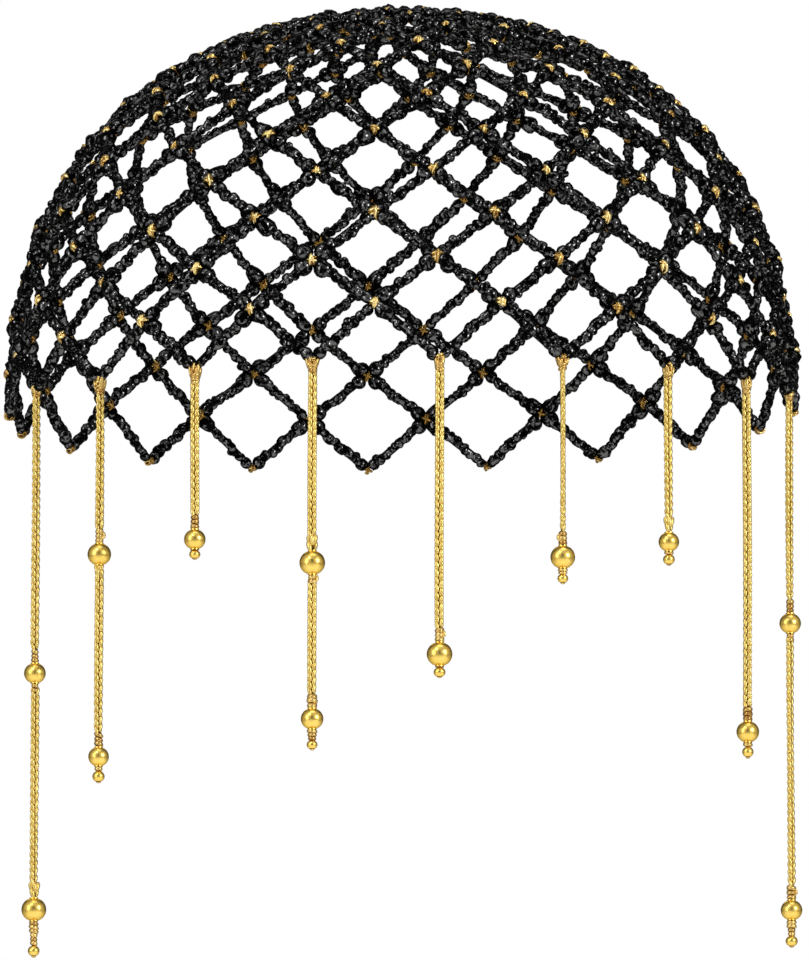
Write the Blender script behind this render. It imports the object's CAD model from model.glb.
# %% [markdown]
# # A beaded head chain
# This lesson dresses a CAD model of a worn jewel: an open net cap strung from black glass
# beads and tied with gold thread, with nine gold chains that hang at the front.
# The CAD model holds the sizes and the main shapes. It has plain strands where the real
# thing has beads, and plain rods where it has plaited chain.
# Here it gets its beads, stitches, knots and finishes, in the same place and at the same
# size, so nothing has to be fitted by eye. Small sizes are written in millimetres, and MM
# turns them into Blender's metres.

# %% Load the CAD frame
import math
import random
from collections import namedtuple

import bmesh
import bpy
import numpy as np
from mathutils import Matrix, Vector, noise


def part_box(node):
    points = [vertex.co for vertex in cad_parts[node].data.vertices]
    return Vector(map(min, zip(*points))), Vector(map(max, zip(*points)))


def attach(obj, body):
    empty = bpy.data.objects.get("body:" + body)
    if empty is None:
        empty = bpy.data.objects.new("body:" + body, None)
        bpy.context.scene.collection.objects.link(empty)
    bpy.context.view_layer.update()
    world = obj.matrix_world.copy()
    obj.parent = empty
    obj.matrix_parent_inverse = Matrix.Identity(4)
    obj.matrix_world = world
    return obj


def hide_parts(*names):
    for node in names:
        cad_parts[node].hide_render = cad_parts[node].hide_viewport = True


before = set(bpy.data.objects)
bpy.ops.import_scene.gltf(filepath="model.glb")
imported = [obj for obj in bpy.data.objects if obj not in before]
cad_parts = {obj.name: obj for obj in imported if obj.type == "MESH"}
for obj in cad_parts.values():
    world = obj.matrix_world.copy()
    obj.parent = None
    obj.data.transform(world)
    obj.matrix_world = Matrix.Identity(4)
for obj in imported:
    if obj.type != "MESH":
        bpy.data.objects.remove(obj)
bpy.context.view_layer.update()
MM = 0.001
print("CAD nodes:", len(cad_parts))

# %% [markdown]
# ## Where the camera stood
# The cap was shot from a little below, almost from the front. The camera is placed by the way
# from the middle of the dome to the lens, and aimed by its turn round the cap and its climb. A
# long lens from nearly three metres keeps the far side of the net about as large as the near
# side.

# %% Camera
DOME_MIDDLE = Vector((1.743, 0.0, -90.78)) * MM
CAMERA_SHIFT = Vector((-249.42, -2745.81, -414.15)) * MM
CAMERA_TURN = math.radians(-5.2)
CAMERA_CLIMB = math.radians(-8.2)
LENS = 447.3
SENSOR = 36
FAR_CLIP = 20


def direction(turn, climb):
    """The direction that is turned from the front and raised by these angles."""
    return Vector((
        math.sin(turn) * math.cos(climb),
        -math.cos(turn) * math.cos(climb),
        math.sin(climb),
    ))


towards_camera = direction(CAMERA_TURN, CAMERA_CLIMB)
camera_data = bpy.data.cameras.new("photo_camera")
camera_data.sensor_width = SENSOR
camera_data.lens = LENS
camera_data.clip_end = FAR_CLIP
camera = bpy.data.objects.new("photo_camera", camera_data)
camera.location = DOME_MIDDLE + CAMERA_SHIFT
camera.rotation_euler = (-towards_camera).to_track_quat("-Z", "Y").to_euler()
bpy.context.scene.collection.objects.link(camera)
bpy.context.scene.camera = camera
print("camera at", [round(v, 3) for v in camera.location])

# %% [markdown]
# ## A shorthand for nodes
# The surroundings and all finishes are trees of small nodes, where each node changes what the
# last one gives. Each helper adds one node, feeds it with plain values or with the outputs of
# other nodes, and gives back its output. A tree then reads like a sum.


# %% Helpers for nodes
def feed(tree, socket, value):
    """Gives a socket the output of another node, or a plain number or colour."""
    if isinstance(value, bpy.types.NodeSocket):
        tree.links.new(value, socket)
    else:
        socket.default_value = value


def math_node(tree, operation, *values):
    """A sum or product of two values."""
    node = tree.nodes.new("ShaderNodeMath")
    node.operation = operation
    for socket, value in zip(node.inputs, values):
        feed(tree, socket, value)
    return node.outputs[0]


def map_range(tree, value, low, high, new_low, new_high):
    """Stretches one range of values to another, and keeps to its ends."""
    node = tree.nodes.new("ShaderNodeMapRange")
    labels = ("Value", "From Min", "From Max", "To Min", "To Max")
    for label, number in zip(labels, (value, low, high, new_low, new_high)):
        feed(tree, node.inputs[label], number)
    return node.outputs["Result"]


# %% [markdown]
# ## Floor, surroundings and light
# The jewel is shown on plain white, with no shadow. A white world would do that, but it would
# also light every bead from all sides and wash the black glass out. So the world looks white
# to the camera only.
# Small glossy things are drawn by what they mirror. In the photo the beads have black rims and
# the gold balls have a small dark spot in the middle. So the world is dark behind the cap and
# pale on the camera's side, with a dark patch round the lens. Both follow from one number for
# each direction: how near it lies to the middle of the patch.

# %% World seen in reflections
# Brightness on the camera's side, behind the cap and in the patch
FRONT_GREY = 0.6
BACK_GREY = 0.08
PATCH_SHADE = 0.2
# Nearness is 1 in the middle of the patch and -1 straight behind the cap. The grey rises
# between the first two values, and the patch darkens between the other two.
GREY_RISES = (-0.7, 0.15)
PATCH_DARKENS = (0.955, 0.99)
PATCH_CLIMB = math.radians(6)
# Heights count for less than half, so the patch is taller than wide
FLATTEN = Vector((1, 1, 0.45))

world = bpy.data.worlds.new("studio")
bpy.context.scene.world = world
world.use_nodes = True
tree = world.node_tree
tree.nodes.clear()


def vector_node(operation, *values):
    """Work on one or two directions."""
    node = tree.nodes.new("ShaderNodeVectorMath")
    node.operation = operation
    for socket, value in zip(node.inputs, values):
        feed(tree, socket, value)
    return node


seen = tree.nodes.new("ShaderNodeTexCoord").outputs["Generated"]
flattened = vector_node("MULTIPLY", seen, FLATTEN).outputs["Vector"]
evened = vector_node("NORMALIZE", flattened).outputs["Vector"]
patch = Vector((towards_camera.x, towards_camera.y, math.tan(PATCH_CLIMB))) * FLATTEN
nearness = vector_node("DOT_PRODUCT", evened, patch.normalized()).outputs["Value"]
room_grey = map_range(tree, nearness, *GREY_RISES, BACK_GREY, FRONT_GREY)
patch_shade = map_range(tree, nearness, *PATCH_DARKENS, 1.0, PATCH_SHADE)
mirrored_grey = math_node(tree, "MULTIPLY", room_grey, patch_shade)
print("patch towards", [round(v, 2) for v in patch.normalized()])


# %% World seen by the camera
def background(strength):
    """A colourless glow of a strength."""
    node = tree.nodes.new("ShaderNodeBackground")
    node.inputs["Color"].default_value = (1, 1, 1, 1)
    feed(tree, node.inputs["Strength"], strength)
    return node.outputs["Background"]


sight = tree.nodes.new("ShaderNodeLightPath")
choice = tree.nodes.new("ShaderNodeMixShader")
ends = tree.nodes.new("ShaderNodeOutputWorld")
feed(tree, choice.inputs[0], sight.outputs["Is Camera Ray"])
feed(tree, choice.inputs[1], background(mirrored_grey))
feed(tree, choice.inputs[2], background(1.0))
feed(tree, ends.inputs["Surface"], choice.outputs[0])
bpy.context.scene.view_settings.view_transform = "Standard"
print("world:", len(tree.nodes), "nodes")

# %% [markdown]
# The floor lies far below the hanging jewel, so it shows no shadow. It is there for the
# undersides of the gold balls, which mirror it.

# %% Pale floor
FLOOR_LEVEL = -0.62
FLOOR_HALF = 6
FLOOR_COLOUR = (0.86, 0.86, 0.85, 1)

bm = bmesh.new()
bmesh.ops.create_grid(bm, x_segments=1, y_segments=1, size=FLOOR_HALF)
bmesh.ops.translate(bm, verts=bm.verts, vec=(0, 0, FLOOR_LEVEL))
mesh = bpy.data.meshes.new("studio_floor")
bm.to_mesh(mesh)
bm.free()
floor = bpy.data.objects.new("studio_floor", mesh)
bpy.context.scene.collection.objects.link(floor)
floor_paint = bpy.data.materials.new("pale_floor")
floor_paint.use_nodes = True
paint = floor_paint.node_tree.nodes["Principled BSDF"]
paint.inputs["Base Color"].default_value = FLOOR_COLOUR
paint.inputs["Roughness"].default_value = 0.7
mesh.materials.append(floor_paint)
print("floor at", FLOOR_LEVEL, "m")

# %% [markdown]
# ## Soft boxes and lamps
# Two large soft boxes stand left and right of the camera, one hangs above and one stands
# behind. They shape the gold. Two smaller, stronger lamps put the white glints on the
# black glass, which mirrors only little of what falls on it. The last light hangs low and
# shines down on the floor.
# A soft box is known by how bright its surface looks, wherever it stands, so each light gets
# its power from that brightness and its size.


# %% Lights
def area_light(name, turn, climb, distance, width, height, brightness):
    """A lit panel that faces the dome's middle. Turn and climb are in degrees."""
    away = direction(math.radians(turn), math.radians(climb))
    data = bpy.data.lights.new(name, "AREA")
    data.shape = "RECTANGLE"
    data.size, data.size_y = width, height
    data.energy = brightness * math.pi * width * height
    light = bpy.data.objects.new(name, data)
    light.location = DOME_MIDDLE + away * distance
    light.rotation_euler = away.to_track_quat("Z", "Y").to_euler()
    bpy.context.scene.collection.objects.link(light)
    print(name, "at", [round(v, 2) for v in light.location])
    return light


area_light("right_soft_box", 44, 10, 1.6, 0.45, 0.9, 4.0)
area_light("left_soft_box", -56, 8, 1.6, 0.6, 1.1, 2.8)
area_light("top_soft_box", 10, 78, 1.5, 0.9, 0.8, 1.5)
area_light("back_soft_box", 180, 40, 1.8, 1.4, 0.8, 0.9)
area_light("right_lamp", 40, 12, 1.5, 0.36, 0.36, 12)
area_light("left_lamp", -36, 40, 1.5, 0.3, 0.3, 14)
floor_light = area_light("floor_light", 0, -40, 0.4, 1.6, 1.0, 0.55)
floor_light.rotation_euler = (0, 0, 0)
floor_light.visible_camera = False

# %% [markdown]
# ## The net's crossings
# Twenty strings climb from the hem to the right and twenty to the left, and they are tied
# wherever they cross. The crossings sit on a dome that swells a little at the shoulder and
# leans slightly to one side. The same few numbers as in the CAD source give every crossing
# here, so beads and knots land exactly on the plain strands that they replace.

# %% Numbers of the net
NET_R = 92 * MM
STRAND_T = 2.4 * MM
DOME_H = NET_R - STRAND_T / 2
SHOULDER = 0.038
LEAN = Matrix.Rotation(math.radians(-1.1), 3, "Y")
COLUMNS = 20
ROWS = 11
# Degrees between rows, how far the hem sags below the level of row 0, and where the last row
# lies, beside the crown ring
ROW_PITCH = 6.7
HEM_SAG = 0.8
CROWN_LAT = 82
# The net is two CAD nodes, which meet at this row
SPLIT_ROW = 5
# The fifth of the nine drops hangs in column 0. Each drop's hem point is tied this much
# higher than in the CAD model.
MIDDLE_DROP = 5
HEM_LIFT = [2.0, 0.3, 0.0, -0.3, -0.7, -0.2, -0.4, -0.4, 0.0]
print("crossings:", COLUMNS * (ROWS + 2))


# %% Places and directions of the crossings
def dome_point(lat, lon):
    """A point of the upright dome, with its base circle at height 0. Angles are in degrees."""
    lat, lon = math.radians(lat), math.radians(lon)
    return NET_R * (1 + SHOULDER * math.sin(2 * lat) ** 2) * direction(lon, lat)


def leaned(point):
    """The same point on the leaning net, whose inside top is the origin."""
    return LEAN @ (point - Vector((0, 0, DOME_H)))


def row_lat(row):
    """How high a row of crossings lies on the dome, in degrees."""
    return CROWN_LAT if row > ROWS else -HEM_SAG if row == 0 else ROW_PITCH * row


def turn_of(row, column):
    """Where a crossing lies round the dome, in degrees. Odd rows are shifted by half a column."""
    return 360 / COLUMNS * (column + (row % 2) / 2)


def crossing(row, column):
    """Where two strings are tied. The front hem points are tied a little higher or lower."""
    point = leaned(dome_point(row_lat(row), turn_of(row, column)))
    drop = (column + MIDDLE_DROP - 1) % COLUMNS
    if row == 0 and drop < len(HEM_LIFT):
        point.z += HEM_LIFT[drop] * MM
    return point


def crossing_axes(row, column):
    """Right, up and outward directions of the net at a crossing, as the columns of a matrix."""
    lat, lon = row_lat(row), turn_of(row, column)
    up = LEAN @ (dome_point(lat + 0.1, lon) - dome_point(lat - 0.1, lon)).normalized()
    right = LEAN @ Vector((math.cos(math.radians(lon)), math.sin(math.radians(lon)), 0))
    return Matrix((right, up, right.cross(up))).transposed()


print("hem point in front:", [round(v * 1000, 1) for v in crossing(0, 0)])

# %% [markdown]
# ## Small shapes, used thousands of times
# A bead, a turn of thread and a stitch of chain are each made once, with few faces, and then
# repeated. One object per bead would be slow to draw and to export, so a whole family of copies
# is joined into a single mesh: each copy is the same small shape, moved by its own matrix.
# Every copy also carries a number called tone, which the materials read, so that no two beads
# look alike.


# %% A small shape and its place
# A roll about any angle, in radians
ANY_ROLL = (0, 6.28)


def shape_of(bm, name):
    """A finished small shape. Its faces are turned outward."""
    bmesh.ops.recalc_face_normals(bm, faces=bm.faces)
    mesh = bpy.data.meshes.new(name)
    bm.to_mesh(mesh)
    bm.free()
    print("shape:", name, len(mesh.polygons), "faces")
    return mesh


def place(at, along, width, length=None, depth=None, roll=0.0):
    """Where a copy goes: its Z axis along a direction, with its sizes across and along."""
    turn = along.to_track_quat("Z", "Y").to_matrix() @ Matrix.Rotation(roll, 3, "Z")
    size = Matrix.Diagonal((width, depth or width, length or width))
    return np.array(Matrix.Translation(at) @ (turn @ size).to_4x4())


# %% Many copies in one mesh
def numbers(rows, field, width, kind):
    """One field of all rows of a mesh, in a flat array."""
    values = np.empty(len(rows) * width, kind)
    rows.foreach_get(field, values)
    return values


def joined_copies(copies):
    """Points, corners of faces, first corners of faces, and tones of all copies together."""
    points, corners, starts, tones, first = [], [], [], [], 0
    for shape in {id(c[0]): c[0] for c in copies}.values():
        places = np.array([c[1] for c in copies if c[0] is shape])
        tone = np.array([c[2] for c in copies if c[0] is shape])
        flat = numbers(shape.vertices, "co", 3, np.float64).reshape(-1, 3)
        corner = numbers(shape.loops, "vertex_index", 1, np.int64)
        start = numbers(shape.polygons, "loop_start", 1, np.int64)
        moved = np.einsum("nij,vj->nvi", places[:, :3, :3], flat) + places[:, None, :3, 3]
        copy = np.arange(len(places))[:, None]
        points.append(moved.reshape(-1, 3))
        starts.append((start[None] + copy * len(corner) + sum(map(len, corners))).ravel())
        corners.append((corner[None] + copy * len(flat) + first).ravel())
        tones.append(np.repeat(tone, len(flat)))
        first += moved.shape[0] * moved.shape[1]
    return [np.concatenate(parts) for parts in (points, corners, starts, tones)]


def strewn(name, copies, material):
    """One piece from many copies: (small shape, 4x4 place, tone) each."""
    points, corners, starts, tones = joined_copies(copies)
    mesh = bpy.data.meshes.new(name)
    mesh.vertices.add(len(points))
    mesh.vertices.foreach_set("co", points.ravel())
    mesh.loops.add(len(corners))
    mesh.loops.foreach_set("vertex_index", corners)
    mesh.polygons.add(len(starts))
    mesh.polygons.foreach_set("loop_start", starts)
    mesh.update(calc_edges=True)
    mesh.shade_smooth()
    mesh.attributes.new("tone", "FLOAT", "POINT").data.foreach_set("value", tones)
    mesh.materials.append(material)
    obj = bpy.data.objects.new(name, mesh)
    bpy.context.scene.collection.objects.link(obj)
    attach(obj, "root")
    print(name, len(copies), "copies,", len(corners) - 2 * len(starts), "triangles")
    return obj


# %% [markdown]
# ## Finishes shared by several materials
# Real surfaces drift in colour and carry small marks. Three such effects are node groups with
# their own inputs: a drift between two colours, fine handling marks, and the ribs of twisted
# thread. The groups only put out colours, masks and heights. The glass or metal itself stays
# in each material.


# %% Helpers for the groups
def new_group(name, inputs, outputs):
    """An empty shader group with float or colour sockets, its entry and its exit."""
    group = bpy.data.node_groups.new(name, "ShaderNodeTree")
    for label, kind, value in inputs:
        socket = group.interface.new_socket(label, in_out="INPUT", socket_type=kind)
        socket.default_value = value
    for label, kind in outputs:
        group.interface.new_socket(label, in_out="OUTPUT", socket_type=kind)
    print("group:", name)
    return group, group.nodes.new("NodeGroupInput"), group.nodes.new("NodeGroupOutput")


def object_vector(tree):
    """Place on the piece, in metres from the origin."""
    return tree.nodes.new("ShaderNodeTexCoord").outputs["Object"]


def noise_node(tree, vector, scale, detail, rough=0.5, distortion=0.0):
    """Noise between 0 and 1, with a scale in patches per metre."""
    node = tree.nodes.new("ShaderNodeTexNoise")
    labels = ("Vector", "Scale", "Detail", "Roughness", "Distortion")
    for label, value in zip(labels, (vector, scale, detail, rough, distortion)):
        feed(tree, node.inputs[label], value)
    return node.outputs["Fac"]


def mix_colour(tree, share, a, b):
    """A blend of two colours, from the first at 0 to the second at 1."""
    node = tree.nodes.new("ShaderNodeMix")
    node.data_type = "RGBA"
    feed(tree, node.inputs["Factor"], share)
    for label, value in (("A", a), ("B", b)):
        feed(tree, next(s for s in node.inputs if s.name == label and s.type == "RGBA"), value)
    return next(s for s in node.outputs if s.type == "RGBA")


# %% The colour drift group
# Patches and tone both push towards the other colour by this much. Their sum is spread from
# one colour to the other between these limits.
DRIFT_PUSH = 0.7
DRIFT_LIMITS = (0.35, 1.05)

drift, drift_in, drift_out = new_group(
    "colour_drift",
    [("Main", "NodeSocketColor", (0.5, 0.5, 0.5, 1)),
     ("Other", "NodeSocketColor", (0.4, 0.4, 0.4, 1)),
     ("Patches per Metre", "NodeSocketFloat", 200.0),
     ("Tone", "NodeSocketFloat", 0.5)],
    [("Color", "NodeSocketColor")],
)
patches = noise_node(drift, object_vector(drift), drift_in.outputs["Patches per Metre"], 2.0)
by_patch = math_node(drift, "MULTIPLY", patches, DRIFT_PUSH)
by_tone = math_node(drift, "MULTIPLY", drift_in.outputs["Tone"], DRIFT_PUSH)
share = map_range(drift, math_node(drift, "ADD", by_patch, by_tone), *DRIFT_LIMITS, 0.0, 1.0)
drifted = mix_colour(drift, share, drift_in.outputs["Main"], drift_in.outputs["Other"])
feed(drift, drift_out.inputs["Color"], drifted)

# %% The handling marks group
# Marks run along one slanted direction, where the noise is drawn out four times
MARKS_SQUEEZE = (1.0, 1.0, 0.25)
MARKS_SLANT = (0.4, 0.3, 0.2)

marks, marks_in, marks_out = new_group(
    "handling_marks",
    [("Marks per Metre", "NodeSocketFloat", 900.0)],
    [("Mask", "NodeSocketFloat"), ("Height", "NodeSocketFloat")],
)
stretch = marks.nodes.new("ShaderNodeMapping")
stretch.inputs["Scale"].default_value = MARKS_SQUEEZE
stretch.inputs["Rotation"].default_value = MARKS_SLANT
feed(marks, stretch.inputs["Vector"], object_vector(marks))
per_metre = marks_in.outputs["Marks per Metre"]
lines = noise_node(marks, stretch.outputs["Vector"], per_metre, 5.0, 0.65)
feed(marks, marks_out.inputs["Mask"], map_range(marks, lines, 0.48, 0.66, 0.0, 1.0))
feed(marks, marks_out.inputs["Height"], lines)

# %% The thread ribs group
ribs, ribs_in, ribs_out = new_group(
    "thread_ribs",
    [("Ribs per Metre", "NodeSocketFloat", 2400.0)],
    [("Mask", "NodeSocketFloat"), ("Height", "NodeSocketFloat")],
)
wave = ribs.nodes.new("ShaderNodeTexWave")
wave.bands_direction = "DIAGONAL"
wave.inputs["Distortion"].default_value = 2.5
wave.inputs["Detail"].default_value = 1.5
feed(ribs, wave.inputs["Vector"], object_vector(ribs))
feed(ribs, wave.inputs["Scale"], ribs_in.outputs["Ribs per Metre"])
feed(ribs, ribs_out.inputs["Mask"], map_range(ribs, wave.outputs["Fac"], 0.05, 0.5, 1.0, 0.0))
feed(ribs, ribs_out.inputs["Height"], wave.outputs["Fac"])

# %% [markdown]
# ## Black pressed glass
# The beads are opaque black glass: almost no colour of their own, and a surface that is never
# perfectly round, which breaks the lamps into small glints. One even gloss would give each
# bead the same big highlight. On the real beads only parts are fire polished, so here the
# bright gloss is a coat in patches, over glass that mirrors very little. The coat fades
# towards the rim of a bead, where it would mirror the most, because the photo's rims are black.


# %% Helpers for materials
def start_material(name):
    """A material with its tree and its main shader."""
    material = bpy.data.materials.new(name)
    material.use_nodes = True
    print("finish:", name)
    return material, material.node_tree, material.node_tree.nodes["Principled BSDF"]


def tone_of_copy(tree):
    """The tone that every copy carries in its mesh."""
    node = tree.nodes.new("ShaderNodeAttribute")
    node.attribute_name = "tone"
    return node.outputs["Fac"]


def place_group(tree, group, **values):
    """A shared group placed in a material, with its own values."""
    node = tree.nodes.new("ShaderNodeGroup")
    node.node_tree = group
    for label, value in values.items():
        feed(tree, node.inputs[label.replace("_", " ")], value)
    return node.outputs


def add_bump(tree, shader, height, depth, strength):
    """Feeds a height to the shader as a bump of a real depth."""
    bump = tree.nodes.new("ShaderNodeBump")
    bump.inputs["Strength"].default_value = strength
    bump.inputs["Distance"].default_value = depth
    feed(tree, bump.inputs["Height"], height)
    feed(tree, shader.inputs["Normal"], bump.outputs["Normal"])


# %% Black glass
GLASS_BLACK = (0.0003, 0.0003, 0.0004, 1)
GLASS_BROWN = (0.002, 0.0017, 0.0016, 1)

black_glass, tree, shader = start_material("black_pressed_glass")
tone = tone_of_copy(tree)
glass = place_group(tree, drift, Main=GLASS_BLACK, Other=GLASS_BROWN, Patches_per_Metre=320.0,
                    Tone=tone)
feed(tree, shader.inputs["Base Color"], glass["Color"])
marked = place_group(tree, marks, Marks_per_Metre=1300.0)
rubbed = math_node(tree, "MULTIPLY", marked["Mask"], 0.06)
dull = math_node(tree, "ADD", map_range(tree, tone, 0.0, 1.0, 0.04, 0.1), rubbed)
feed(tree, shader.inputs["Roughness"], dull)
shader.inputs["IOR"].default_value = 1.06
shader.inputs["Coat IOR"].default_value = 2.0
shader.inputs["Coat Roughness"].default_value = 0.04
melted = noise_node(tree, object_vector(tree), 900.0, 2.0, 0.5, 0.8)
edge = tree.nodes.new("ShaderNodeLayerWeight").outputs["Facing"]
coat = math_node(tree, "MULTIPLY", map_range(tree, melted, 0.5, 0.56, 0.0, 1.0),
                 map_range(tree, edge, 0.25, 0.5, 1.0, 0.0))
feed(tree, shader.inputs["Coat Weight"], coat)
ripple = noise_node(tree, object_vector(tree), 620.0, 1.0, 0.5, 0.3)
add_bump(tree, shader, ripple, 0.4 * MM, 0.4)

# %% [markdown]
# ## Gold thread
# The knots and ties are of metal-wrapped yarn, which is pale where it catches light and brown
# in its folds. The tone of each turn of thread sets that: -1 is pale, 0 is golden and 1 is
# brown. The cores that lie under the thread have a tone of 2, which is nearly black.

# %% Gold thread
CORE_TONE = 2.0
THREAD_PALE = (1.0, 0.84, 0.5, 1)
THREAD_GOLD = (0.95, 0.71, 0.25, 1)
THREAD_BROWN = (0.46, 0.26, 0.065, 1)
THREAD_FOLD = (0.3, 0.13, 0.012, 1)
THREAD_CORE = (0.12, 0.06, 0.006, 1)

gold_thread, tree, shader = start_material("gold_thread")
tone = tone_of_copy(tree)
ribbed = place_group(tree, ribs, Ribs_per_Metre=520.0)
yarn = place_group(tree, drift, Main=THREAD_GOLD, Other=THREAD_BROWN, Patches_per_Metre=400.0,
                   Tone=tone)
paleness = map_range(tree, tone, -1.0, 0.0, 1.0, 0.0)
pale = mix_colour(tree, paleness, yarn["Color"], THREAD_PALE)
folds = mix_colour(tree, math_node(tree, "MULTIPLY", ribbed["Mask"], 0.2), pale, THREAD_FOLD)
inner = mix_colour(tree, map_range(tree, tone, 1.2, 1.8, 0.0, 1.0), folds, THREAD_CORE)
feed(tree, shader.inputs["Base Color"], inner)
shader.inputs["Metallic"].default_value = 0.95
feed(tree, shader.inputs["Roughness"], map_range(tree, ribbed["Mask"], 0.0, 1.0, 0.26, 0.5))
add_bump(tree, shader, ribbed["Height"], 0.08 * MM, 0.3)

# %% [markdown]
# ## Chain and balls
# The chain is bright yellow metal, a little paler where it is rubbed. The balls are of a
# deeper gold with a soft polish and shallow dents. A metal mirrors more, and paler, at its
# rim. The photo's balls stay golden there, so the tint of the rim is golden too.

# %% Gold chain
CHAIN_GOLD = (0.83, 0.63, 0.2, 1)
CHAIN_DEEP = (0.68, 0.48, 0.12, 1)
CHAIN_RUBBED = (0.85, 0.69, 0.29, 1)

gold_chain, tree, shader = start_material("gold_chain")
metal = place_group(tree, drift, Main=CHAIN_GOLD, Other=CHAIN_DEEP, Patches_per_Metre=420.0,
                    Tone=tone_of_copy(tree))
marked = place_group(tree, marks, Marks_per_Metre=2000.0)
rubbed = math_node(tree, "MULTIPLY", marked["Mask"], 0.35)
feed(tree, shader.inputs["Base Color"], mix_colour(tree, rubbed, metal["Color"], CHAIN_RUBBED))
shader.inputs["Metallic"].default_value = 1.0
feed(tree, shader.inputs["Roughness"], map_range(tree, marked["Mask"], 0.0, 1.0, 0.38, 0.5))
add_bump(tree, shader, marked["Height"], 0.03 * MM, 0.3)

# %% Polished gold
BALL_GOLD = (0.95, 0.68, 0.17, 1)
BALL_DEEP = (0.88, 0.57, 0.1, 1)
BALL_RIM = (1.0, 0.75, 0.3, 1)

polished_gold, tree, shader = start_material("polished_gold")
metal = place_group(tree, drift, Main=BALL_GOLD, Other=BALL_DEEP, Patches_per_Metre=260.0,
                    Tone=0.4)
marked = place_group(tree, marks, Marks_per_Metre=1500.0)
feed(tree, shader.inputs["Base Color"], metal["Color"])
shader.inputs["Metallic"].default_value = 1.0
shader.inputs["Specular Tint"].default_value = BALL_RIM
feed(tree, shader.inputs["Roughness"], map_range(tree, marked["Mask"], 0.0, 1.0, 0.24, 0.32))
scratches = math_node(tree, "MULTIPLY", marked["Height"], 0.15)
dents = noise_node(tree, object_vector(tree), 260.0, 1.0)
add_bump(tree, shader, math_node(tree, "ADD", scratches, dents), 0.2 * MM, 0.3)

# %% [markdown]
# ## The black beads
# Seen close, no string of this net is even. Most sides of a diamond start and end with a fat
# round bead beside the knot, and run through a few smaller ones in between, which sit a little
# askew and overlap. Each bead starts as a plain ball, which noise makes lumpy as pressed glass
# is, and which is drawn out along its hole. A few different ones, turned at random, are enough
# for thousands of copies.

# %% Bead shapes
LUMPS_PER_WIDTH = 1.7


def bead_shape(name, around, rings, length, lump, seed):
    """A ball one unit wide with its hole along Z, drawn out to a length. Its lumps differ
    with the seed."""
    bm = bmesh.new()
    bmesh.ops.create_uvsphere(bm, u_segments=around, v_segments=rings, radius=0.5)
    for v in bm.verts:
        spot = v.co * LUMPS_PER_WIDTH + Vector((seed * 7.3, seed * 3.1, 0))
        v.co *= 1 + lump * noise.noise(spot)
    bmesh.ops.scale(bm, verts=bm.verts, vec=(1, 1, length))
    return shape_of(bm, name)


BEAD_SHAPES = [
    bead_shape("round_bead", 10, 8, 1.05, 0.16, 1),
    bead_shape("lumpy_bead", 10, 8, 1.2, 0.36, 2),
    bead_shape("bent_bead", 10, 8, 1.35, 0.3, 3),
    bead_shape("long_bead", 10, 8, 1.5, 0.22, 4),
]
END_SHAPES = BEAD_SHAPES[:2]
SMALL_BEAD = bead_shape("small_bead", 8, 6, 1.0, 0.2, 5)

# %% [markdown]
# A dark cord fills the hole of the beads. The same six-sided rod is later the core of chains
# and knots, where it keeps light from falling through.


# %% Cord inside the beads
def core_shape():
    """A six-sided rod one unit long about the middle, one unit wide."""
    bm = bmesh.new()
    bmesh.ops.create_cone(bm, cap_ends=True, segments=6, radius1=0.5, radius2=0.5, depth=1)
    return shape_of(bm, "core")


CORE = core_shape()

# %% [markdown]
# ## Stringing one side of a diamond
# The beads of a side have to fill it from knot to knot. So the widths are drawn first, one
# after the other until they are enough, and then the row is fitted to the length. Towards the
# crown the diamonds get smaller, and their beads with them.

# %% Widths of the beads on a side
# Bead widths: fat or slim beside the knots, and the usual ones in between, which differ from
# each other by the last range
FAT_END = (3.7, 4.5)
SLIM_END = (2.8, 3.3)
USUAL = (2.25, 2.9)
UNEVEN = (-0.35, 0.4)
FAT_CHANCE = 0.7
# Neighbours overlap, so each bead takes up this share of its width
PITCH_SHARE = 0.8
dice = random.Random(20)


def either_way(most):
    """A chance number from minus the most to the most."""
    return dice.uniform(-most, most)


def bead_widths(length, scale, lowest):
    """Widths of the beads that fill one side. Some sides are stout and some are slender, and
    most end in a fat bead beside the knot. The lowest bead can be made smaller."""
    ends = [dice.uniform(*FAT_END) if dice.random() < FAT_CHANCE else dice.uniform(*SLIM_END)
            for _ in range(2)]
    widths = [w * MM * scale for w in ends]
    widths[0] *= lowest
    usual = dice.uniform(*USUAL)
    while PITCH_SHARE * sum(widths) < length:
        widths.insert(-1, (usual + dice.uniform(*UNEVEN)) * MM * scale)
    return widths


# %% Beads on a side
# How far from a crossing the beads start, beside a knot and at the hem, where the end bead is
# also smaller and leaves the hanger free
KNOT_REACH = 1.15 * MM
HEM_REACH = 0.9 * MM
HEM_END_SHARE = 0.78
# Beads shrink with the length of their side, compared with a side at the hem
SIDE_AT_HEM = 18.0 * MM
SHRINK = 0.35
SMALLEST = 0.82
CORD_WIDTH = 2.0 * MM
# How far a bead may shift aside and outward, and how far its hole may lean that way
SHIFT_ASIDE, SHIFT_OUT = 0.35, 0.25
LEAN_ASIDE, LEAN_OUT = 0.5, 0.35
# How often a small bead sits beside a bead, how far aside (in bead widths) and outward of it,
# and how wide it is
SIDE_BEAD_CHANCE = 0.22
SIDE_BEAD_ASIDE = 0.28
SIDE_BEAD_OUT = (0.2, 0.7)
SIDE_BEAD_WIDTHS = (1.6, 2.1)


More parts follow.
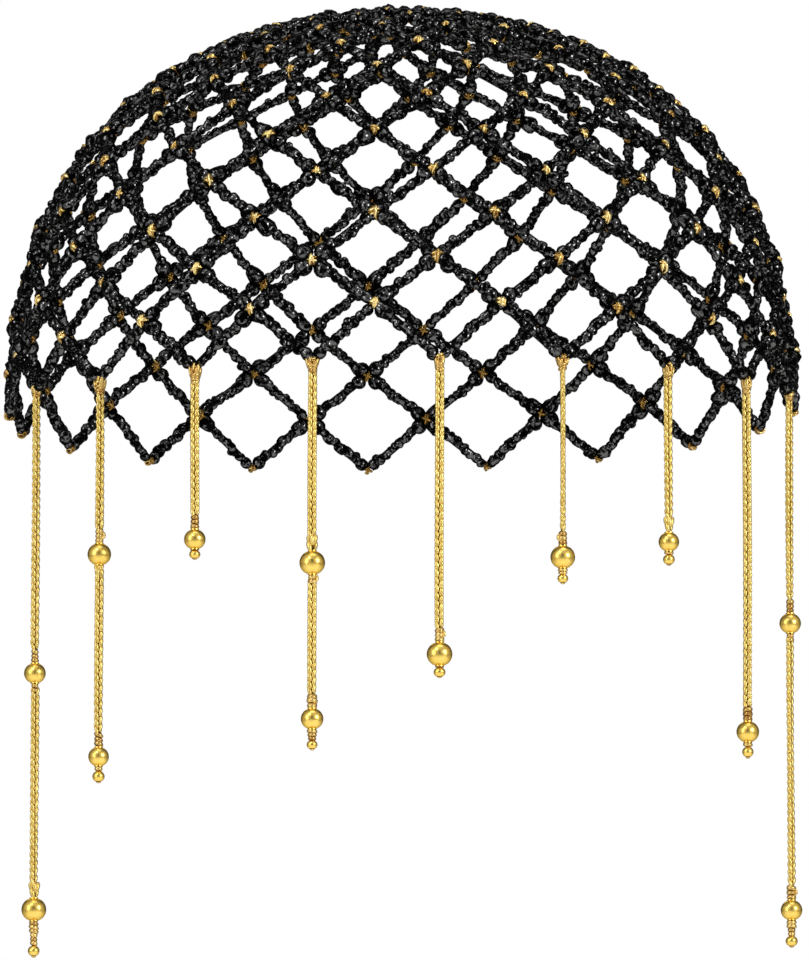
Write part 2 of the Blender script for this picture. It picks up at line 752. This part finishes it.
def string_side(start, end, outward, reach):
    """Copies of beads along one side of a diamond, from crossing to crossing."""
    way = (end - start).normalized()
    across = outward.cross(way).normalized()
    length = (end - start).length - reach - KNOT_REACH
    scale = min(1.0, max(SMALLEST, (length / SIDE_AT_HEM) ** SHRINK))
    widths = bead_widths(length, scale, HEM_END_SHARE if reach == HEM_REACH else 1.0)
    pitch = length / sum(widths)
    cord = place(start + way * (reach + length / 2), way, CORD_WIDTH * scale, length)
    copies = [(CORE, cord, 0.5)]
    at = reach
    for n, width in enumerate(widths):
        at += width * pitch / 2
        middle = start + way * at
        at_end = n in (0, len(widths) - 1)
        aside = across * either_way(SHIFT_ASIDE) * MM * (0.5 if at_end else 1.0)
        middle += aside + outward * either_way(SHIFT_OUT) * MM
        askew = way + across * either_way(LEAN_ASIDE) + outward * either_way(LEAN_OUT)
        askew = askew.normalized()
        shape = dice.choice(END_SHAPES if at_end else BEAD_SHAPES)
        spot = place(middle, askew, width, roll=dice.uniform(*ANY_ROLL))
        copies.append((shape, spot, dice.random()))
        if dice.random() < SIDE_BEAD_CHANCE:
            side = dice.choice((-1, 1))
            nudge = (across * side * width * SIDE_BEAD_ASIDE + way * width * 0.5
                     + outward * dice.uniform(*SIDE_BEAD_OUT) * MM)
            small = dice.uniform(*SIDE_BEAD_WIDTHS) * MM * scale
            spot = place(middle + nudge, askew, small, roll=dice.uniform(*ANY_ROLL))
            copies.append((SMALL_BEAD, spot, dice.random()))
        at += width * pitch / 2
    return copies


# %% [markdown]
# ## Stringing the whole net
# The net is one long repeat: from each crossing a string climbs right and another climbs left.
# It is kept as four pieces, two for each half of the net, so that none grows too large.

# %% All strings
strings = {}
for row in range(ROWS + 1):
    for column in range(COLUMNS):
        for n, way in enumerate(("right", "left")):
            next_column = (column + row % 2 - n) % COLUMNS
            low, high = crossing(row, column), crossing(row + 1, next_column)
            outward = ((low + high) / 2 - DOME_MIDDLE).normalized()
            half = "upper" if row >= SPLIT_ROW else "lower"
            reach = HEM_REACH if row == 0 else KNOT_REACH
            beads = string_side(low, high, outward, reach)
            strings.setdefault((half, way), []).extend(beads)
for (half, way), copies in strings.items():
    piece = strewn(f"{half}_strings_climbing_{way}", copies, black_glass)
    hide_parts(f"{half}_net")

# %% [markdown]
# ## The crown
# The top of the cap can't be seen in the photo. All strings have to end somewhere, so they are
# gathered by a ring of beads round a small opening, which lies just inside the last crossings.

# %% Ring of beads at the crown
RING_BEADS = 25
RING_BEAD_WIDTHS = (2.7, 3.2)
RING_BEAD_LENGTH = 3.1 * MM

ring_low, ring_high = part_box("crown_ring")
ring_middle = (ring_low + ring_high) / 2
ring_r = (ring_high.x - ring_low.x) / 2 - STRAND_T / 2
copies = []
for n in range(RING_BEADS):
    turn = 2 * math.pi * n / RING_BEADS
    out = LEAN @ Vector((math.cos(turn), math.sin(turn), 0))
    along = LEAN @ Vector((-math.sin(turn), math.cos(turn), 0))
    width = dice.uniform(*RING_BEAD_WIDTHS) * MM
    shape = dice.choice(BEAD_SHAPES)
    spot = place(ring_middle + out * ring_r, along, width, RING_BEAD_LENGTH,
                 roll=dice.uniform(*ANY_ROLL))
    copies.append((shape, spot, dice.random()))
crown = strewn("crown_ring_beads", copies, black_glass)
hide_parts("crown_ring")

# %% [markdown]
# ## The knots at the crossings
# Wherever two strings cross, a few turns of gold thread tie them together. From the front each
# knot is a little star of a few pale strands with brown gaps between them. One turn of thread
# is a thin ring, made by spinning a small circle. Two dark turns lie beneath, and five
# brighter ones pass over them, in turn from top to bottom and from side to side. Towards the
# crown the knots get smaller and browner.


# %% One turn of thread
def ring_shape(name, thickness, around, sides):
    """A ring one unit across its middle line, standing round the Z axis."""
    bm = bmesh.new()
    made = bmesh.ops.create_circle(bm, segments=sides, radius=thickness / 2, cap_ends=False)
    bmesh.ops.rotate(bm, verts=made["verts"], matrix=Matrix.Rotation(math.pi / 2, 3, "X"))
    bmesh.ops.translate(bm, verts=made["verts"], vec=(0.5, 0, 0))
    bmesh.ops.spin(bm, geom=bm.verts[:] + bm.edges[:], axis=(0, 0, 1), cent=(0, 0, 0),
                   angle=2 * math.pi, steps=around, use_merge=True, use_duplicate=False)
    return shape_of(bm, name)


KNOT_TURN = ring_shape("knot_turn", 0.27, 10, 4)

# %% Tying a crossing
# The dark turns beneath: their tone, and how much deeper, wider and more slanted they lie
UNDER_TONE = 1.5
UNDER_DEPTH = 0.2
UNDER_WIDER = 1.15
UNDER_SLANT = 0.4


def knot_at(middle, axes, size, turns, brown):
    """A few turns of thread round a crossing."""
    right, up, out = (axes.col[n].copy() for n in range(3))
    copies = []
    for over, other in ((right, up), (up, -right)):
        lie = (over + other * UNDER_SLANT).normalized()
        spot = place(middle - out * UNDER_DEPTH * MM, lie, size * UNDER_WIDER)
        copies.append((KNOT_TURN, spot, UNDER_TONE))
    for n in range(turns):
        over, other = (right, up) if n % 2 == 0 else (up, right)
        lie = over + other * either_way(0.5) + out * either_way(0.25)
        shift = over * either_way(0.45) * MM + out * dice.uniform(0.0, 0.35) * MM
        wide = size * dice.uniform(0.85, 1.1)
        spot = place(middle + shift, lie.normalized(), wide, wide * dice.uniform(0.9, 1.2),
                     roll=dice.uniform(*ANY_ROLL))
        tone = brown - 0.5 + (UNDER_TONE - brown) * dice.random() ** 2
        copies.append((KNOT_TURN, spot, tone))
    return copies


# %% All knots
# Size, turns of thread and brownness of a knot at the hem
HEM_KNOT = (1.7 * MM, 3, 0.6)
# Widths and turns of the other knots, and how much browner and smaller each row makes them
KNOT_WIDTHS = (2.2, 2.7)
KNOT_TURNS = 5
BROWNER = 0.04
SMALLER = 0.05

knots = {"upper": [], "lower": []}
for row in range(ROWS + 2):
    for column in range(COLUMNS):
        size = dice.uniform(*KNOT_WIDTHS) * MM * min(1.0, 1.3 - SMALLER * row)
        kind = HEM_KNOT if row == 0 else (size, KNOT_TURNS, BROWNER * row)
        half = "upper" if row > SPLIT_ROW else "lower"
        knots[half].extend(knot_at(crossing(row, column), crossing_axes(row, column), *kind))
for half, copies in knots.items():
    piece = strewn(f"{half}_crossing_knots", copies, gold_thread)
    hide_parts(f"{half}_net")

# %% [markdown]
# ## The nine drops
# From each hem point at the front hangs a flat plaited chain. The long ones carry a polished
# ball half-way down and one near the end, the short ones only one. Below the last ball come a
# few turns of thread and a round end bead. The table has one row for each drop, from left to
# right. Depths are measured down from the hem point.

# %% Table of the drops
# The last column turns each chain about its own length, in degrees. The sixth hangs nearly
# edge-on.
Drop = namedtuple("Drop", "upper_at upper_wide lower_at lower_wide bead_high tip_at turn")
DROPS = [
    Drop(64.0, 5.0, 118.6, 5.7, 2.5, 129.7, 28),
    Drop(40.0, 5.4, 86.5, 4.7, 2.5, 92.6, 16),
    Drop(0, 0, 39.5, 4.9, 1.85, 44.2, -10),
    Drop(46.8, 5.8, 82.3, 5.1, 2.0, 89.5, 4),
    Drop(0, 0, 68.4, 5.8, 2.05, 73.85, -6),
    Drop(0, 0, 45.9, 5.6, 2.0, 52.1, 78),
    Drop(0, 0, 40.8, 4.7, 2.3, 46.3, 20),
    Drop(0, 0, 82.0, 5.2, 2.5, 88.2, -16),
    Drop(53.7, 5.0, 120.4, 5.0, 2.4, 129.1, 44),
]
BALL_FLAT = 0.93
BALL_COLLAR = 0.1
DOWN = Vector((0, 0, -1))


def hem_point(k):
    """The CAD model's hem point of drop number k."""
    return leaned(dome_point(row_lat(0), turn_of(0, k - MIDDLE_DROP)))


def half_height(width):
    """Half the height of a ball with its collars."""
    return width * BALL_FLAT / 2 + BALL_COLLAR


print("longest drop:", max(drop.tip_at for drop in DROPS), "mm")

# %% [markdown]
# ## The plaited chain
# The chain is a flat plait: on each face, plump leaf-shaped lobes lean in from the left and the
# right in turn and meet on a dark middle line, like grains on an ear of wheat. A woven pattern
# in the material would look flat at its edges, so the lobes are real. One lobe is a small
# ball, drawn out and pinched at its lower end. Four lobes make a stitch, two for the face and
# two for the back. Where a chain is stouter, it has a third row of lobes in the middle.


# %% Lobe
def lobe_shape():
    """A leaf one unit long, plump above and narrower below."""
    bm = bmesh.new()
    bmesh.ops.create_uvsphere(bm, u_segments=8, v_segments=6, radius=0.5)
    for v in bm.verts:
        v.co.x *= 1 + 0.45 * v.co.z
        v.co.y *= 1 + 0.25 * v.co.z
    return shape_of(bm, "plait_lobe")


LOBE = lobe_shape()

# %% Plaiting
STITCH = 1.75 * MM
LOBE_LONG = 2.2 * MM
LOBE_WIDE = 0.98 * MM
LOBE_THICK = 0.78 * MM
# How far a lobe sits aside and in front, and how it leans in and forward
LOBE_ASIDE = 0.47
LOBE_FRONT = 0.22
LEAN_IN = math.radians(15)
LEAN_FORWARD = 0.1
# The chain sways and twists a little on its way down, each in waves of so many radians for
# each metre
SWAY = 0.1
SWAY_WAVE = 60
TWIST = 0.16
TWIST_WAVE = 90


def plait(top, depth_from, depth_to, turn, stout=1.0):
    """Copies of the lobes of a stretch of chain, between two depths below a hem point."""
    depth_from, depth_to = depth_from * MM, depth_to * MM
    stitches = max(1, round((depth_to - depth_from) / STITCH / stout))
    pitch = (depth_to - depth_from) / stitches
    copies = []
    phase = dice.uniform(*ANY_ROLL)
    for n in range(stitches):
        for side in (-1, 1) if stout == 1.0 else (-1, 0, 1):
            for face in (-1, 1):
                down = depth_from + pitch * (n + 0.5 + (0.25 if side * face > 0 else -0.25))
                wave = TWIST * math.sin(down * TWIST_WAVE + phase)
                twist = Matrix.Rotation(turn + wave + either_way(0.06), 3, "Z")
                sway = Vector((math.sin(down * SWAY_WAVE + phase), 0, 0)) * SWAY * MM
                beside = Vector((side * LOBE_ASIDE, face * LOBE_FRONT * stout, 0))
                at = top + DOWN * down + sway + twist @ beside * MM * stout
                lean = twist @ Matrix.Rotation(side * LEAN_IN, 3, "Y")
                lean = lean @ Matrix.Rotation(face * LEAN_FORWARD, 3, "X")
                long = LOBE_LONG * dice.uniform(0.94, 1.06)
                size = Matrix.Diagonal((LOBE_WIDE, LOBE_THICK * stout, long)) * stout
                spot = np.array(Matrix.Translation(at) @ (lean @ size).to_4x4())
                copies.append((LOBE, spot, dice.random()))
    return copies


# %% [markdown]
# ## Hangers and knots
# A chain is tied to its hem point by arms of thread that come down from both sides and meet on
# it, with a few turns round them. Beside each ball the thread is knotted, and no two knots are
# alike: plain coils, slanted twists, a barrel, a stretch of stouter chain, and on some a loop
# that sticks out to one side. All of them are made from two shapes: one turn of thread, and
# the lobe of the chain.

# %% Turns of thread on a chain
# Thickness of the thread, compared with the width of its turn
RING_TUBE = 0.36
LOOP_TUBE = 0.5
WRAP = ring_shape("wrap_turn", RING_TUBE, 14, 6)
LOOP = ring_shape("thread_loop", LOOP_TUBE, 14, 6)


def upright(top, depth, width, height):
    """Place of an upright part: depth of its middle, width and height."""
    return place(top + DOWN * depth * MM, Vector((0, 0, 1)), width * MM, height * MM)


def wrap_turn(top, depth, width, height, slant, tone):
    """One turn of thread round a chain."""
    lie = Vector((slant + either_way(0.1), either_way(0.1), 1)).normalized()
    wide = width * MM / (1 + RING_TUBE)
    return WRAP, place(top + DOWN * depth * MM, lie, wide, height * MM / RING_TUBE), tone


def side_loop(top, depth, aside, width, tone):
    """A loop of thread that stands beside a chain and faces the front."""
    lie = Vector((either_way(0.3), -1, either_way(0.2))).normalized()
    at = top + DOWN * depth * MM + Vector((aside * MM, -0.35 * MM, 0))
    wide = width * MM / (1 + LOOP_TUBE)
    return LOOP, place(at, lie, wide, roll=dice.uniform(*ANY_ROLL)), tone


# %% Hangers
# Width at the top and height of each hanger
HANGERS = [(2.3, 1.6), (3.5, 3.3), (3.3, 3.6), (3.7, 2.9), (2.8, 3.0), (3.5, 2.8), (3.0, 2.8),
           (3.0, 3.3), (2.1, 1.5)]
# Arms of a hanger: place from the left (-1) to the right (1), width and tone. The outer arms
# are golden, and the inner ones are brown.
ARMS = [(-1, 1.25, 0.5), (-0.45, 0.9, 0.95), (0.5, 0.9, 0.9), (1, 1.25, 0.45)]
ARM_DEEP = 0.9 * MM
ARM_LONGER = 1.25


def hanger(top, width, height):
    """Arms of thread that come down to a chain from both sides of its hem point, in front and
    behind, and a few turns round their foot."""
    facing = Matrix.Rotation(math.atan2(top.x, -top.y), 3, "Z")
    copies = []
    for front in (-1, 1):
        for side, wide, tone in ARMS:
            upper = (side * (width / 2 - 0.45), front * 0.45, dice.uniform(-0.3, 0.35))
            lower = (side * 0.4, front * 0.35, -height * dice.uniform(0.8, 1.05))
            high = top + facing @ Vector(upper) * MM
            low = top + facing @ Vector(lower) * MM
            way = high - low
            spot = place((high + low) / 2, way.normalized(), wide * MM, way.length * ARM_LONGER,
                         ARM_DEEP)
            copies.append((LOBE, spot, tone + dice.uniform(-0.1, 0.25)))
    turns = max(2, round(height))
    for n in range(turns):
        share = 0.45 + 0.6 * (n + 0.5) / turns
        wide = 2.0 + max(0.0, width - 2.0) * (1 - share)
        copies.append(wrap_turn(top, share * height, wide, dice.uniform(0.6, 0.85),
                                either_way(0.4), dice.uniform(0.2, 1.0)))
    copies.append((CORE, upright(top, height / 2, 1.3, height), CORE_TONE))
    return copies


# %% Knots
# The knots of each drop from the top down: kind, width, how brown it is, and the side of its
# loop (-1 left, 1 right, 0 none). They sit above and below an upper ball and above a lower
# one. A knot of the kind plait is a stretch of stouter chain.
KNOTS = [
    [("twist", 2.05, 0.9, 0), ("coil", 1.8, 0.5, 0), ("plait", 2.5)],
    [("coil", 2.1, 0.3, 1), ("plait", 2.2), ("twist", 2.45, 0.7, 0)],
    [("coil", 2.25, 0.8, 0)],
    [("plait", 2.5), ("coil", 2.1, 0.4, 1), ("barrel", 2.75, 0.4, 0)],
    [("coil", 2.3, 0.4, 1)],
    [("coil", 2.3, 0.7, -1)],
    [("plait", 2.4)],
    [("coil", 2.5, 0.8, 0)],
    [("coil", 2.0, 0.7, 0), ("coil", 1.9, 0.4, 0), ("coil", 2.5, 0.4, 1)],
]
# Height of one turn, and how the turns of a knot slant
TURN_HEIGHT = 0.95
TWIST_SLANTS = (0.5, 0.35)
COIL_SLANTS = (0.22, -0.22)
LOOP_WIDE = 2.1
LOOP_ASIDE = 0.45


def chain_knot(top, depth, height, kind, width, brown, loop):
    """A knot of thread on a chain, by the depth of its upper end and its height."""
    middle = depth + height / 2
    turns = max(2, round(height / TURN_HEIGHT))
    copies = [(CORE, upright(top, middle, min(1.5, width - 0.6), height + 0.2), CORE_TONE)]
    for n in range(turns):
        share = (n + 0.5) / turns
        if kind == "barrel":
            swell = 1 - 0.2 * abs(2 * share - 1) ** 2
        else:
            swell = 1 - 0.1 * dice.random()
        for slant in TWIST_SLANTS if kind == "twist" else COIL_SLANTS:
            copies.append(wrap_turn(
                top,
                depth + height * (n + 0.5) / turns + either_way(0.12),
                width * swell * dice.uniform(0.92, 1.0),
                height / turns * dice.uniform(0.75, 1.1),
                slant,
                min(1.1, brown * dice.uniform(0.5, 1.8)),
            ))
    if loop:
        copies.append(side_loop(top, middle - 0.2, loop * LOOP_ASIDE, LOOP_WIDE, brown * 0.7))
    return copies


print("knots beside balls:", sum(len(row) for row in KNOTS))

# %% [markdown]
# Below its last ball each chain ends in turns of thread, the end bead, and a tip of thread
# that keeps the bead on. In the photo the number of turns differs from chain to chain, so
# they are listed.

# %% Ends of the chains
# Widths of the turns of thread between the last ball and its end bead, from the ball down
LAST_TURNS = [
    (2.35, 2.5, 2.35, 1.85, 1.8, 1.85), (1.9,), (2.2,), (2.5, 2.2, 1.95), (2.1,),
    (2.4, 2.2), (2.3,), (2.3,), (2.4, 2.45, 1.85, 1.8),
]
TIP_BELOW_BEAD = 0.32
TIP_WIDE = 1.1
TIP_HIGH = 0.5
TIP_TONE = 0.6


def tip_shape():
    """The end of the thread below the end bead: a low dome."""
    bm = bmesh.new()
    bmesh.ops.create_uvsphere(bm, u_segments=12, v_segments=6, radius=0.5)
    return shape_of(bm, "thread_tip")


THREAD_TIP = tip_shape()


def last_turns(k, drop, begin):
    """Thread between the last ball of drop number k and its tip. It begins at a depth."""
    top, widths = hem_point(k), LAST_TURNS[k - 1]
    room = drop.tip_at - TIP_BELOW_BEAD - drop.bead_high - begin
    slant = 0.35 if k == 1 else 0.0
    copies = []
    for n, wide in enumerate(widths):
        depth = begin + room * ((n + 0.5) / len(widths))
        copies.append(wrap_turn(top, depth, wide, room / len(widths) * 1.05, slant,
                                dice.uniform(0.1, 0.9)))
    copies.append((CORE, upright(top, begin + room / 2, 1.0, room + 0.4), CORE_TONE))
    tip = upright(top, drop.tip_at - TIP_HIGH / 2, TIP_WIDE, TIP_HIGH)
    copies.append((THREAD_TIP, tip, TIP_TONE))
    return copies


print("turns at the ends:", sum(len(widths) for widths in LAST_TURNS))

# %% [markdown]
# ## Hanging the drops
# Each drop is built from the top down: its hanger, then chain and knot to each ball, then its
# end. Chain and thread have different finishes, so a drop is two pieces, which both stand for
# the same CAD rod.

# %% One drop
# Height of the knots above and below a ball, how far a chain reaches into the hanger or knot
# above it, and how wide it is
KNOT_HEIGHT = 3.1
LOW_KNOT = 1.9
PLAIT_OVERLAP = 0.5
PLAIT_WIDE = 2


def drop_copies(k, drop):
    """Copies of the chain and copies of the thread of drop number k."""
    top, turn = hem_point(k), math.radians(drop.turn)
    (width, height), lift = HANGERS[k - 1], HEM_LIFT[k - 1]
    plaits, threads = [], hanger(top + Vector((0, 0, lift * MM)), width, height)
    balls = [(drop.upper_at, drop.upper_wide)] if drop.upper_wide else []
    balls.append((drop.lower_at, drop.lower_wide))
    begin = height - lift - PLAIT_OVERLAP
    knots_left = list(KNOTS[k - 1])
    for at, ball in balls:
        knot_top = at - half_height(ball) - KNOT_HEIGHT
        plaits += plait(top, begin, knot_top, turn)
        rod = upright(top, (begin + knot_top) / 2, 0.7, knot_top - begin + 0.6)
        threads.append((CORE, rod, CORE_TONE))
        for depth, tall in ((knot_top, KNOT_HEIGHT), (at + half_height(ball), LOW_KNOT)):
            begin = depth
            if knots_left:
                knot = knots_left.pop(0)
                if knot[0] == "plait":
                    plaits += plait(top, depth, depth + tall, turn, knot[1] / PLAIT_WIDE)
                    rod = upright(top, depth + tall / 2, 1.0, tall + 0.2)
                    threads.append((CORE, rod, CORE_TONE))
                else:
                    threads += chain_knot(top, depth, tall, *knot)
                begin = depth + tall - PLAIT_OVERLAP
    return plaits, threads + last_turns(k, drop, begin)


# %% All nine drops
for k, drop in enumerate(DROPS, 1):
    plaits, threads = drop_copies(k, drop)
    chain = strewn(f"plait_{k}", plaits, gold_chain)
    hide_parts(f"chain_{k}")
    ties = strewn(f"ties_{k}", threads, gold_thread)
    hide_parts(f"hanger_{k}", f"chain_{k}")

# %% [markdown]
# ## The balls and end beads
# The CAD model already has these in their true shape, a little flattened and drilled for the
# thread, so they stay as they are and only get their polish.

# %% Polish on the CAD beads
for name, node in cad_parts.items():
    if "ball" in name or "end_bead" in name:
        for material_slot in node.material_slots:
            material_slot.material = polished_gold
print("polished:", sum("ball" in n or "end_bead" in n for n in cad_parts))
